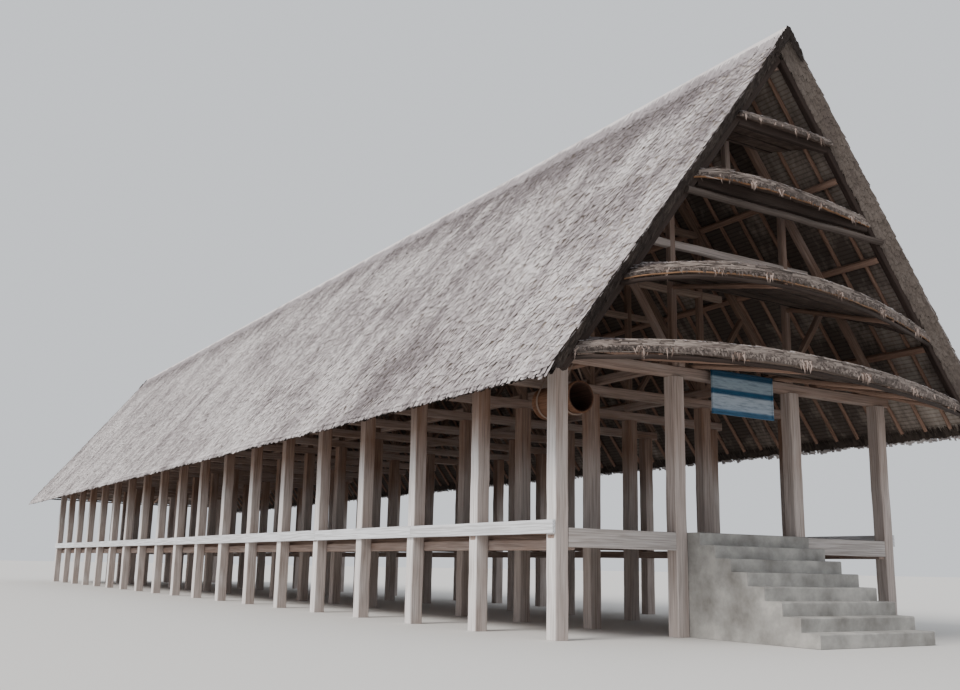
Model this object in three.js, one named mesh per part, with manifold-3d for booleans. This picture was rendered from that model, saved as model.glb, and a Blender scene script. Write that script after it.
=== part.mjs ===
// A long open meeting house on timber posts: a raised floor, nineteen cross frames, a steep two-sided
// thatched roof, and four bowed thatch awnings across each open gable. Millimetres, Z up.
// The origin is on the ground at the middle of the house. The long side runs along Y, the front is at -Y.
import * as THREE from 'three';
import { mergeVertices } from 'three/addons/utils/BufferGeometryUtils.js';
import Module from 'manifold-3d';

const wasm = await Module();
wasm.setup();

// Driving dimensions
const gap = 0.3;                 // between solids that touch
const bay = 1900;                // one bay of the long side, post to post
const frameCount = 19;
const postSide = 205;
const outerRow = 3232;           // axis of the outer rows of posts, from the middle
const innerRow = 1190;           // axis of the inner rows

const floorTop = 1393;
const deckThickness = 40;
const bearer = { height: 100, width: 150 };
const girder = { height: 140, width: 120 };
const sideBoard = { bottom: 1310, top: 1500, thickness: 45 };
const frontBoard = { height: 250, thickness: 25, setBack: 2 };
const backBoardThickness = 45;

const tie = { bottom: 3575, top: 3728, width: 150, overhang: 150 };
const trussDepth = 100;          // struts, braces, collars, king posts and rafters, along the house
const strutWidth = 110;
const brace = { width: 90, foot: [1185, 3798], rise: 1.4457 };
const lowerCollar = { bottom: 5510, top: 5625, halfLength: 1700 };
const upperCollar = { bottom: 6590, top: 6705 };
const kingPostWidth = 110;
const innerPlate = { width: 110, height: 130 };
const seat = 20;                 // how far a member runs into the one that carries it

const eaveX = 4364;              // the eave's edge, from the middle
const eaveZ = 3136;
const ridgeZ = 8800;             // where the two thatch faces meet
const thatchThickness = 200;
const vergeReach = 1270;         // how far the thatch passes the gable posts
const vergeRecess = 182;         // how far the thatch's underside stands back from the edge of its top
const ridgeCap = { thickness: 30, run: 330 };
const ridgeBeam = { width: 120, height: 165 };
const purlinSide = 100;          // purlins and verge rafters share one layer under the thatch
const purlins = { eave: 3150, low: 2157, high: 1302 };
const rafter = { depth: 130, footX: 3440 };
const vergeRafter = { front: 1083, width: 100, footZ: 3200 };

// Awnings, lowest first: heights of the front edge and of the line at the gable frame, how far the edge
// stands in front of the gable posts at the sides and at the crest, and the crest's place in half widths
const poleDepth = 70;
const poleWidth = 80;
const awnings = [
  { front: [3375, 3568], back: [tie.top + gap + poleDepth, 3910], ends: 1080, bow: 1090, crest: -0.28 },
  { front: [4410, 4590], back: [4930, 5060], ends: 1120, bow: 1110, crest: -0.40 },
  { front: [6060, 6231], back: [6440, 6560], ends: 1100, bow: 250, crest: -0.36 },
  { front: [7162, 7257], back: [7412, 7497], ends: 1180, bow: 50, crest: 0 },
];
const awningSteps = 12;          // stations across an awning
const bentBearer = { depth: 70, near: 20, far: 90 };  // near and far: distances behind the awning's edge
const straightBearers = [{ bottom: 5990, top: 6160 }, { bottom: 7090, top: 7218 }];
const crossPole = { bottom: 5808, top: 5908, front: 1175, back: 1075 };
const tiePoles = [-0.78, -0.5, -0.23, 0.23, 0.5, 0.78];  // across the lowest awning, in half widths

const stepCount = 8;
const treadDepth = 280;
const landing = 230;             // in front of the gable posts
const stepClearance = 2;
const sign = { width: 1240, height: 640, thickness: 40, bottom: 3090, front: 95 };
const signBatten = { x: 400, width: 60 };
const drum = { x: -2194, z: 3305, radius: 238, wall: 40, length: 910, front: 950, flats: 24 };
const hangerPole = { radius: 40, start: 12, end: 160, flats: 8 };
const sling = { thickness: 12, width: 40, inset: 150, steps: 12, grip: 2 };

// Worked out from them
const rowLength = (frameCount - 1) * bay;
const frontFace = -(rowLength + postSide) / 2;      // the outer face of the gable posts
const sideFace = outerRow + postSide / 2;           // the outer face of the outer posts
const slope = (ridgeZ - eaveZ) / eaveX;
const pitch = Math.atan(slope);
const plumb = (depth) => depth / Math.cos(pitch);   // a depth square to the slope, measured plumb
const thatchUnder = ridgeZ - plumb(thatchThickness);               // heights at the middle of the house
const layerTop = thatchUnder - plumb(gap);
const layerUnder = layerTop - plumb(purlinSide);
const rafterTop = layerUnder - plumb(gap);
const rafterUnder = rafterTop - plumb(rafter.depth);
const heightAt = (ridgeHeight, x) => ridgeHeight - slope * Math.abs(x);
const reachAt = (ridgeHeight, z) => (ridgeHeight - z) / slope;
const bearerTop = floorTop - deckThickness - gap;
const vergeMiddle = frontFace - vergeRafter.front + vergeRafter.width / 2;
const timberEnd = -frontFace + vergeRafter.front - vergeRafter.width - gap;   // where the purlins stop

const finishes = {
  timber: { color: 0x8a7263, roughness: 0.85, metalness: 0 },
  paleBoard: { color: 0xd2cfcb, roughness: 0.8, metalness: 0 },
  thatch: { color: 0x9d948a, roughness: 1, metalness: 0 },
  concrete: { color: 0xa8a7a3, roughness: 0.9, metalness: 0 },
  paintedBoard: { color: 0x2f6a8c, roughness: 0.5, metalness: 0 },
};

const house = new THREE.Group();

// Adds one named piece with its own material
function addPiece(name, geometry, finish, place = {}) {
  const piece = new THREE.Mesh(geometry, new THREE.MeshStandardMaterial(finishes[finish]));
  piece.name = name;
  piece.position.y = place.y ?? 0;
  piece.rotation.z = place.turn ?? 0;
  house.add(piece);
}

// The right and left sides, the front and back ends: the second of each is the first turned half round
const sides = [['right', 0], ['left', Math.PI]];
const houseEnds = [['front', 0], ['back', Math.PI]];

// Solids from geometry, and back
function solid(geometry) {
  const bare = geometry.clone();
  bare.deleteAttribute('normal');
  bare.deleteAttribute('uv');
  const merged = mergeVertices(bare, 1e-3);
  return new wasm.Manifold(new wasm.Mesh({
    numProp: 3,
    vertProperties: new Float32Array(merged.attributes.position.array),
    triVerts: new Uint32Array(merged.index.array),
  }));
}

function geometryOf(manifold) {
  const mesh = manifold.getMesh();
  const geometry = new THREE.BufferGeometry();
  geometry.setAttribute('position', new THREE.BufferAttribute(new Float32Array(mesh.vertProperties), 3));
  geometry.setIndex(new THREE.BufferAttribute(new Uint32Array(mesh.triVerts), 1));
  geometry.computeVertexNormals();
  return geometry;
}

const joined = (geometries) => geometries.map(solid).reduce((whole, piece) => whole.add(piece));

function box(x0, x1, y0, y1, z0, z1) {
  const geometry = new THREE.BoxGeometry(x1 - x0, y1 - y0, z1 - z0);
  return geometry.translate((x0 + x1) / 2, (y0 + y1) / 2, (z0 + z1) / 2);
}

// An outline in the plane across the house, given a width along it
function crossPrism(points, width, y = 0) {
  const shape = new THREE.Shape(points.map(([x, z]) => new THREE.Vector2(x, z)));
  const geometry = new THREE.ExtrudeGeometry(shape, { depth: width, bevelEnabled: false });
  return geometry.rotateX(Math.PI / 2).translate(0, y + width / 2, 0);
}

// A level member whose ends follow the slopes, some way in from or past a given layer
function levelMember({ bottom, top }, ridgeHeight, extra, width, y = 0) {
  const low = reachAt(ridgeHeight, bottom) + extra;
  const high = reachAt(ridgeHeight, top) + extra;
  return crossPrism([[-low, bottom], [low, bottom], [high, top], [-high, top]], width, y);
}

// A straight member between two points of the plane across the house
function slantedOutline([x0, z0], [x1, z1], width) {
  const length = Math.hypot(x1 - x0, z1 - z0);
  const sideX = (z1 - z0) / length * width / 2;
  const sideZ = (x1 - x0) / length * width / 2;
  return [
    [x0 + sideX, z0 - sideZ], [x1 + sideX, z1 - sideZ],
    [x1 - sideX, z1 + sideZ], [x0 - sideX, z0 + sideZ],
  ];
}

// A pair of rafters meeting at the ridge, cut level at the feet
function rafterPair(under, top, footZ) {
  const inner = reachAt(under, footZ);
  const outer = reachAt(top, footZ);
  return [[-outer, footZ], [-inner, footZ], [0, under], [inner, footZ], [outer, footZ], [0, top]];
}

// A solid with four corner lines, each a function of s from -1 to 1. Seen from the end where s is 1,
// looking back, the corners run anticlockwise.
function lofted(corners, steps) {
  const positions = [];
  for (let i = 0; i <= steps; i++) {
    const s = -1 + 2 * i / steps;
    corners.forEach((corner) => positions.push(...corner(s)));
  }
  const at = (i, j) => i * 4 + (j + 4) % 4;
  const index = [at(0, 0), at(0, 3), at(0, 1), at(0, 1), at(0, 3), at(0, 2)];
  for (let i = 0; i < steps; i++) {
    for (let j = 0; j < 4; j++) {
      index.push(at(i, j), at(i, j + 1), at(i + 1, j), at(i, j + 1), at(i + 1, j + 1), at(i + 1, j));
    }
  }
  index.push(at(steps, 0), at(steps, 1), at(steps, 3), at(steps, 1), at(steps, 2), at(steps, 3));
  const geometry = new THREE.BufferGeometry();
  geometry.setAttribute('position', new THREE.Float32BufferAttribute(positions, 3));
  geometry.setIndex(index);
  return geometry;
}

// Cross frames, each about its own plane: four posts, floor bearer, tie, struts, braces, collars, king
// post and rafters, with a notch at the ridge for the ridge beam
const ridgeBeamTop = heightAt(layerTop, ridgeBeam.width / 2);
const ridgeBeamBottom = ridgeBeamTop - ridgeBeam.height;

function crossFrame() {
  // A member that lies across the frame's plane, from side to side and from height to height
  const member = (x0, x1, z0, z1, depth = trussDepth) => box(x0, x1, -depth / 2, depth / 2, z0, z1);
  const members = [
    crossPrism([
      [-rafter.footX, heightAt(rafterUnder, rafter.footX)], [0, rafterUnder],
      [rafter.footX, heightAt(rafterUnder, rafter.footX)], [rafter.footX, heightAt(rafterTop, rafter.footX)],
      [0, rafterTop], [-rafter.footX, heightAt(rafterTop, rafter.footX)],
    ], trussDepth),
    member(-sideFace - tie.overhang, sideFace + tie.overhang, tie.bottom, tie.top, tie.width),
    member(-sideFace, sideFace, bearerTop - bearer.height, bearerTop, bearer.width),
    member(-lowerCollar.halfLength, lowerCollar.halfLength, lowerCollar.bottom, lowerCollar.top),
    levelMember(upperCollar, rafterUnder, 2 * seat, trussDepth),
    member(-kingPostWidth / 2, kingPostWidth / 2, upperCollar.bottom + seat, rafterUnder + 2 * seat),
  ];
  const rise = brace.foot[1] - brace.rise * brace.foot[0];
  const headX = (rafterUnder - rise) / (brace.rise + slope) + seat;
  const outline = slantedOutline(brace.foot, [headX, rise + brace.rise * headX], brace.width);
  const strutTop = heightAt(rafterUnder, innerRow - strutWidth / 2) + seat;
  for (const side of [-1, 1]) {
    for (const row of [outerRow, innerRow]) {
      const x = side * row;
      members.push(member(x - postSide / 2, x + postSide / 2, 0, tie.bottom, postSide));
    }
    const strutX = side * innerRow;
    members.push(member(strutX - strutWidth / 2, strutX + strutWidth / 2, tie.top, strutTop));
    members.push(crossPrism(outline.map(([x, z]) => [side * x, z]), trussDepth));
  }
  const notchHalf = ridgeBeam.width / 2 + gap;
  const notch = box(-notchHalf, notchHalf, -trussDepth, trussDepth, ridgeBeamBottom - gap, ridgeBeamTop);
  return geometryOf(joined(members).subtract(solid(notch)));
}

const frameGeometry = crossFrame();
for (let i = 0; i < frameCount; i++) {
  const name = `cross_frame_${String(i + 1).padStart(2, '0')}`;
  addPiece(name, frameGeometry, 'timber', { y: -rowLength / 2 + i * bay });
}

// Floor: a deck cut round every post, girders inside the outer posts, and boards along its edges
const deckFront = frontFace + frontBoard.setBack + frontBoard.thickness + gap;

function floorDeck() {
  const half = postSide / 2 + gap;
  const [low, high] = [floorTop - 2 * deckThickness, floorTop + deckThickness];
  const posts = [];
  for (let i = 0; i < frameCount; i++) {
    const y = -rowLength / 2 + i * bay;
    for (const x of [-outerRow, -innerRow, innerRow, outerRow]) {
      posts.push(box(x - half, x + half, y - half, y + half, low, high));
    }
  }
  const deck = box(-sideFace, sideFace, deckFront, -frontFace, floorTop - deckThickness, floorTop);
  return geometryOf(solid(deck).subtract(joined(posts)));
}
addPiece('floor_deck', floorDeck(), 'timber');

const girderTop = bearerTop - bearer.height - gap;
const girderOuter = outerRow - postSide / 2 - gap;
const sideBoardInner = sideFace + gap;
for (const [side, turn] of sides) {
  addPiece(`${side}_floor_girder`, box(girderOuter - girder.width, girderOuter, deckFront, -deckFront,
    girderTop - girder.height, girderTop), 'timber', { turn });
  addPiece(`${side}_side_board`, box(sideBoardInner, sideBoardInner + sideBoard.thickness,
    frontFace, -frontFace, sideBoard.bottom, sideBoard.top), 'paleBoard', { turn });
}

const boardInner = innerRow + postSide / 2 + gap;
const boardOuter = outerRow - postSide / 2 - gap;
const boardFront = frontFace + frontBoard.setBack;
const boardBottom = floorTop - frontBoard.height;
const boardBack = boardFront + frontBoard.thickness;
addPiece('front_floor_board_right',
  box(boardInner, boardOuter, boardFront, boardBack, boardBottom, floorTop), 'paleBoard');
addPiece('front_floor_board_left',
  box(-boardOuter, -boardInner, boardFront, boardBack, boardBottom, floorTop), 'paleBoard');
addPiece('back_floor_board', box(-sideFace, sideFace,
  -frontFace + gap, -frontFace + gap + backBoardThickness, boardBottom, floorTop), 'paleBoard');

// Long timbers: inner plates beside the struts, purlins square to the slope, and the ridge beam
function purlinOutline(x) {
  const normal = [Math.sin(pitch), Math.cos(pitch)];
  const along = [normal[1] * purlinSide / 2, -normal[0] * purlinSide / 2];
  const top = [x, heightAt(layerTop, x)];
  const bottom = [x - normal[0] * purlinSide, top[1] - normal[1] * purlinSide];
  return [
    [bottom[0] + along[0], bottom[1] + along[1]], [top[0] + along[0], top[1] + along[1]],
    [top[0] - along[0], top[1] - along[1]], [bottom[0] - along[0], bottom[1] - along[1]],
  ];
}
const plateOuter = innerRow - strutWidth / 2 - gap;
const plateEnd = (rowLength + tie.width) / 2;
for (const [side, turn] of sides) {
  addPiece(`${side}_inner_plate`, box(plateOuter - innerPlate.width, plateOuter, -plateEnd, plateEnd,
    tie.top + gap, tie.top + gap + innerPlate.height), 'timber', { turn });
  for (const [place, x] of Object.entries(purlins)) {
    addPiece(`${side}_${place}_purlin`, crossPrism(purlinOutline(x), 2 * timberEnd), 'timber', { turn });
  }
}
addPiece('ridge_beam', box(-ridgeBeam.width / 2, ridgeBeam.width / 2, -timberEnd, timberEnd,
  ridgeBeamBottom, ridgeBeamTop), 'timber');

// Thatch: two sloping slabs with level eaves and receding ends, and a cap of two leaning halves
const thatchLength = 2 * (-frontFace + vergeReach);
const thatchOutline = [
  [gap / 2, ridgeZ], [eaveX, eaveZ], [reachAt(thatchUnder, eaveZ), eaveZ], [gap / 2, thatchUnder],
];

function thatchSlab() {
  const geometry = crossPrism(thatchOutline, thatchLength);
  const { position } = geometry.attributes;
  for (let i = 0; i < position.count; i++) {
    const below = ridgeZ - slope * position.getX(i) - position.getZ(i) > plumb(thatchThickness) / 2;
    const y = position.getY(i);
    position.setY(i, below ? y - Math.sign(y) * vergeRecess : y);
  }
  geometry.computeVertexNormals();
  return geometry;
}
const capUnder = ridgeZ + plumb(gap);
const capTop = capUnder + plumb(ridgeCap.thickness);
const capOutline = [
  [gap / 2, capUnder], [ridgeCap.run, heightAt(capUnder, ridgeCap.run)],
  [ridgeCap.run, heightAt(capTop, ridgeCap.run)], [gap / 2, capTop],
];
for (const [side, turn] of sides) {
  addPiece(`${side}_thatch`, thatchSlab(), 'thatch', { turn });
  addPiece(`${side}_ridge_cap`, crossPrism(capOutline, thatchLength), 'thatch', { turn });
}

// Awnings: each slopes from a straight line at the gable frame down to a level edge that bows outwards.
// Their sides follow the thatch and are cut round the verge rafters.
const awningBack = frontFace - 5;
const awningSideGap = 5;
const awningHalf = (z) => reachAt(thatchUnder, z) - awningSideGap;

// The edge is a parabola in u, from -1 to 1, pushed sideways so that it reaches farthest at the crest
const acrossOf = ({ crest }) => (u) => u + crest * (1 - u * u);
const edgeOf = ({ ends, bow }) => (u) => frontFace - ends - bow * (1 - u * u);
const stationAt = ({ crest }, across) => (
  crest ? (1 - Math.sqrt(1 - 4 * crest * (across - crest))) / (2 * crest) : across);
const vergeRafters = (clear) => crossPrism(
  rafterPair(layerUnder - plumb(clear), layerTop + plumb(clear), vergeRafter.footZ - clear),
  vergeRafter.width + 2 * clear, vergeMiddle);

// With grow, the awning is that much larger all round, to cut what lies against it
function awningSolid(awning, grow = 0) {
  const [edge, across] = [edgeOf(awning), acrossOf(awning)];
  const back = awningBack + grow;
  const [frontLow, backLow] = [awning.front[0] - grow, awning.back[0] - grow];
  const [frontHigh, backHigh] = [awning.front[1] + grow, awning.back[1] + grow];
  const slab = solid(lofted([
    (u) => [across(u) * awningHalf(frontLow), edge(u) - grow, frontLow],
    (u) => [across(u) * awningHalf(backLow), back, backLow],
    (u) => [across(u) * awningHalf(backHigh), back, backHigh],
    (u) => [across(u) * awningHalf(frontHigh), edge(u) - grow, frontHigh],
  ], awningSteps));
  return slab.subtract(solid(vergeRafters(gap - grow)));
}

// A pole under an awning, from its bent bearer back along the slope, then level to y = end
function pole(awning, place, end) {
  const [frontZ, backZ] = [awning.front[0], awning.back[0]];
  const edge = edgeOf(awning)(stationAt(awning, place));
  const frontX = place * awningHalf(frontZ);
  const lean = (place * awningHalf(backZ) - frontX) / (awningBack - edge);
  const rise = (backZ - frontZ) / (awningBack - edge);
  const section = (y, z) => {
    const x = frontX + lean * (y - edge);
    const [left, right] = [x - poleWidth / 2, x + poleWidth / 2];
    return [[right, y, z - poleDepth], [left, y, z - poleDepth], [left, y, z], [right, y, z]];
  };
  const span = (from, to) => lofted(from.map((corner, i) => (s) => (s < 0 ? corner : to[i])), 1);
  const start = edge + (bentBearer.near + bentBearer.far) / 2;
  const bend = section(awningBack, backZ);
  const level = bend.map(([x, , z]) => [x, end, z]);
  return [span(section(start, frontZ + rise * (start - edge)), bend), span(bend, level)];
}

// The bent bearer under an awning's edge
function bentBearerUnder(awning) {
  const [edge, across] = [edgeOf(awning), acrossOf(awning)];
  const bottom = awning.front[0] - bentBearer.depth;
  const top = awning.front[0] + bentBearer.depth;
  return lofted([
    (u) => [across(u) * awningHalf(bottom), edge(u) + bentBearer.near, bottom],
    (u) => [across(u) * awningHalf(bottom), edge(u) + bentBearer.far, bottom],
    (u) => [across(u) * awningHalf(top), edge(u) + bentBearer.far, top],
    (u) => [across(u) * awningHalf(top), edge(u) + bentBearer.near, top],
  ], awningSteps);
}

// The gable's outer frame: verge rafters, and everything between them that carries the awnings
function vergeFrame() {
  const [lowest, second] = awnings;
  const tieBack = -rowLength / 2 + tie.width / 2;
  const strutFront = -rowLength / 2 - trussDepth / 2 - gap;
  const strutPlace = innerRow / awningHalf(second.back[0]);
  const crossMiddle = frontFace - (crossPole.front + crossPole.back) / 2;
  const members = [
    vergeRafters(0),
    bentBearerUnder(lowest),
    bentBearerUnder(second),
    ...tiePoles.flatMap((place) => pole(lowest, place, tieBack)),
    ...[-strutPlace, strutPlace].flatMap((place) => pole(second, place, strutFront)),
    ...straightBearers.map((member) => levelMember(member, layerUnder, seat, vergeRafter.width, vergeMiddle)),
    levelMember(crossPole, thatchUnder, -awningSideGap, crossPole.front - crossPole.back, crossMiddle),
  ];
  const cutters = awnings.map((awning) => awningSolid(awning, gap));
  return geometryOf(cutters.reduce((frame, cutter) => frame.subtract(cutter), joined(members)));
}

const vergeGeometry = vergeFrame();
for (const [end, turn] of houseEnds) {
  addPiece(`${end}_verge_frame`, vergeGeometry, 'timber', { turn });
  awnings.forEach((awning, i) => {
    addPiece(`${end}_awning_${i + 1}`, geometryOf(awningSolid(awning)), 'thatch', { turn });
  });
}

// Steps: one solid flight up to the floor in the middle bay of the front
function steps() {
  const back = deckFront - gap;
  const rise = floorTop / stepCount;
  const profile = [[back, 0], [back, floorTop]];
  for (let i = 0; i < stepCount; i++) {
    const y = frontFace - landing - i * treadDepth;
    profile.push([y, floorTop - i * rise], [y, floorTop - (i + 1) * rise]);
  }
  const width = 2 * (innerRow - postSide / 2 - stepClearance);
  const shape = new THREE.Shape(profile.map(([y, z]) => new THREE.Vector2(y, z)));
  const geometry = new THREE.ExtrudeGeometry(shape, { depth: width, bevelEnabled: false });
  return geometry.rotateX(Math.PI / 2).rotateZ(Math.PI / 2).translate(-width / 2, 0, 0);
}
addPiece('front_steps', steps(), 'concrete');

// A bare board held off the front tie by two battens
function signBoard() {
  const front = frontFace - sign.front;
  const back = -rowLength / 2 - tie.width / 2 - gap;
  const top = sign.bottom + sign.height;
  const half = signBatten.width / 2;
  const members = [
    box(-sign.width / 2, sign.width / 2, front, front + sign.thickness, sign.bottom, top),
  ];
  for (const x of [-signBatten.x, signBatten.x]) {
    members.push(box(x - half, x + half, front + sign.thickness / 2, back, sign.bottom + seat, top - seat));
  }
  return geometryOf(joined(members));
}
addPiece('sign_board', signBoard(), 'paintedBoard');

// A hollow drum, open at both ends, slung from a pole that lies over the first two ties
const drumFront = frontFace + drum.front;

function drumShell() {
  const inner = drum.radius - drum.wall;
  const profile = [
    [inner, 0], [drum.radius, 0], [drum.radius, drum.length], [inner, drum.length], [inner, 0],
  ].map(([radius, y]) => new THREE.Vector2(radius, y));
  return new THREE.LatheGeometry(profile, drum.flats).translate(drum.x, drumFront, drum.z);
}
addPiece('hanging_drum', drumShell(), 'timber');

function drumHanger() {
  const poleZ = tie.top + gap + hangerPole.radius;
  const start = frontFace + hangerPole.start;
  const end = -rowLength / 2 + bay + hangerPole.end;
  const rise = poleZ - drum.z;
  // A belt round two circles: their common tangents leave each circle at the same angle
  const belt = (lower, upper) => {
    const angle = Math.asin((lower - upper) / rise);
    const path = new THREE.Path();
    path.absarc(0, 0, lower, Math.PI - angle, 2 * Math.PI + angle, false);
    path.absarc(0, rise, upper, angle, Math.PI - angle, false);
    path.closePath();
    return path.getPoints(sling.steps / 2);
  };
  // A sling is made of straight stretches, so its corners stand off far enough for each to clear the drum.
  // Round the drum it turns by less than 1.3 half turns.
  const halfStretch = 1.3 * Math.PI / 2 / sling.steps;
  const lower = (drum.radius + gap) / Math.cos(halfStretch);
  const shape = new THREE.Shape(belt(lower + sling.thickness, hangerPole.radius + sling.thickness));
  shape.holes.push(new THREE.Path(belt(lower, hangerPole.radius - sling.grip)));
  const slings = [sling.inset, drum.length - sling.inset].map((place) => new THREE.ExtrudeGeometry(
    shape, { depth: sling.width, bevelEnabled: false },
  ).rotateX(Math.PI / 2).translate(drum.x, drumFront + place + sling.width / 2, drum.z));
  const { radius, flats } = hangerPole;
  const hanger = new THREE.CylinderGeometry(radius, radius, end - start, flats)
    .translate(drum.x, (start + end) / 2, poleZ);
  return geometryOf(joined([hanger, ...slings]));
}
addPiece('drum_hanger', drumHanger(), 'timber');

export default house;
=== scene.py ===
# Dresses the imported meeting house: weathered timber frames, plank floor, palm-leaf thatch, awnings,
# steps, board and drum. Metres, Z up, the front gable at -Y.
import math
from functools import partial

import bpy
import numpy as np
from mathutils import Matrix


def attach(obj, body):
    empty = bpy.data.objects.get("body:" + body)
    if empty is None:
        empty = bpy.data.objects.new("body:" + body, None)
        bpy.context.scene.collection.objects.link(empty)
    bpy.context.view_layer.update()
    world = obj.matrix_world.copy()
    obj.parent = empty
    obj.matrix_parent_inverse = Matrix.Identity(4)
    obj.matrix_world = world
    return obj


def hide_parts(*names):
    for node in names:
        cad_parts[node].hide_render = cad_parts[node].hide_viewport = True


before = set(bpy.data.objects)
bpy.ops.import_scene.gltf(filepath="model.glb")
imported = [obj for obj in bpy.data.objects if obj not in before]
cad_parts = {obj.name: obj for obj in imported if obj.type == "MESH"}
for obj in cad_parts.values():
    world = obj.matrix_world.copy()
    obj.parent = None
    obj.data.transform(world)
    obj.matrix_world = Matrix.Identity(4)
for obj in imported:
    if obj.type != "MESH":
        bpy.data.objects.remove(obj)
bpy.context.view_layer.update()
rng = np.random.default_rng(1907)

# The house, as in the model
house = {
    "bay": 1.9, "frames": 19, "postSide": 0.205, "outerRow": 3.232, "innerRow": 1.19,
    "frontFace": -17.2025, "floorTop": 1.393, "eaveX": 4.364, "eaveZ": 3.136, "ridgeZ": 8.8,
    "thatchEnd": 18.4725, "timberEnd": 18.1852,
}
slope = (house["ridgeZ"] - house["eaveZ"]) / house["eaveX"]
pitch = math.atan(slope)
plumb = 1 / math.cos(pitch)
sides = (("right", 1), ("left", -1))
framePlaces = (np.arange(house["frames"]) - (house["frames"] - 1) / 2) * house["bay"]
upwards = np.array([0, 0, 1.0])
# heights over the middle of the house of the planes that follow the slopes
layer = {name: house["ridgeZ"] - depth * plumb for name, depth in {
    "thatchUnder": 0.200, "purlinTop": 0.2003, "purlinUnder": 0.3003, "rafterTop": 0.3006,
    "rafterUnder": 0.4306}.items()}


def heightAt(name, x):
    return layer[name] - slope * abs(x)


def reachAt(name, z):
    return (layer[name] - z) / slope


# Colour and nodes
def linearColour(hexText):
    # sRGB hex to linear: c / 12.92 below 0.04045, else ((c + 0.055) / 1.055) to the power 2.4
    parts = [int(hexText[i:i + 2], 16) / 255 for i in (1, 3, 5)]
    return [c / 12.92 if c <= 0.04045 else ((c + 0.055) / 1.055) ** 2.4 for c in parts] + [1.0]


def addNode(tree, kind, links=None, **settings):
    # links are the inputs: a socket, or a node for its first output, is linked, and a value is set.
    # Settings are the node's own properties, with the stops of a ramp as (place, colour).
    node = tree.nodes.new("ShaderNode" + kind)
    for name, value in settings.items():
        if name == "stops":
            while len(node.color_ramp.elements) < len(value):
                node.color_ramp.elements.new(0.5)
            for element, (place, colour) in zip(node.color_ramp.elements, value):
                element.position = place
                element.color = linearColour(colour)
        else:
            setattr(node, name, value)
    for name, value in (links or {}).items():
        if isinstance(value, bpy.types.Node):
            value = value.outputs[0]
        if isinstance(value, bpy.types.NodeSocket):
            tree.links.new(value, node.inputs[name])
        else:
            node.inputs[name].default_value = value
    return node


def newMaterial(name):
    material = bpy.data.materials.new(name)
    material.use_nodes = True
    material.node_tree.nodes.clear()
    return material, partial(addNode, material.node_tree)


def finishMaterial(material, colour, bumpHeight, bumpDistance, roughness):
    add = partial(addNode, material.node_tree)
    bump = add("Bump", {"Strength": 1.0, "Distance": bumpDistance, "Height": bumpHeight})
    add("OutputMaterial", {"Surface": add("BsdfPrincipled", {
        "Base Color": colour, "Roughness": roughness, "Specular IOR Level": 0.25, "Normal": bump})})
    return material


# Weathered tropical hardwood, hewn: brown where the roof keeps it dry, silver-grey where sun and rain
# reach it, with long open grain and drying cracks. "grain" is (along, across, deep) in the member's own
# frame, "bleach" is how far the brown has gone, and on some members painted shade and painted light too.
def hewnHardwood(name, brown, deep, grey, pale, crack, grainWidth=0.007):
    material, add = newMaterial(name)
    grain = add("Attribute", attribute_name="grain").outputs["Vector"]
    bleach = add("Attribute", attribute_name="bleach").outputs["Fac"]
    across = 1 / (grainWidth * 3)      # noise cells are about three grains wide
    fine, broad, cracks = (
        add("TexNoise", {"Vector": add("Mapping", {"Vector": grain, "Scale": stretch}),
                         "Scale": 1.0, "Detail": detail, "Roughness": roughness})
        for stretch, detail, roughness in (((across / 28, across, across), 5.0, 0.62),
                                           ((0.8, 5.0, 5.0), 3.0, 0.55), ((1.3, 62.0, 62.0), 2.0, 0.4)))
    brownTone = add("ValToRGB", {"Fac": fine}, stops=[(0.32, deep), (0.66, brown)])
    greyTone = add("ValToRGB", {"Fac": fine}, stops=[(0.30, grey), (0.64, pale)])
    # the bleached part starts unevenly: the broad noise moves its edge
    shifted = add("Math", {0: broad, 1: 0.5, 2: -0.25}, operation="MULTIPLY_ADD")
    bleached = add("Math", {0: shifted, 1: bleach}, operation="ADD", use_clamp=True)
    mixed = add("MixRGB", {"Fac": bleached, "Color1": brownTone, "Color2": greyTone})
    edge = 0.44 - 0.2 * crack
    crackTone = add("ValToRGB", {"Fac": cracks}, stops=[(edge, "#7f766d"), (edge + 0.10, "#ffffff")])
    coloured = add("MixRGB", {"Fac": 0.32, "Color1": mixed, "Color2": crackTone}, blend_type="MULTIPLY")
    height = add("Math", {0: crackTone, 1: fine}, operation="MULTIPLY")
    return finishMaterial(material, coloured, height, 0.003, 0.82)
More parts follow.
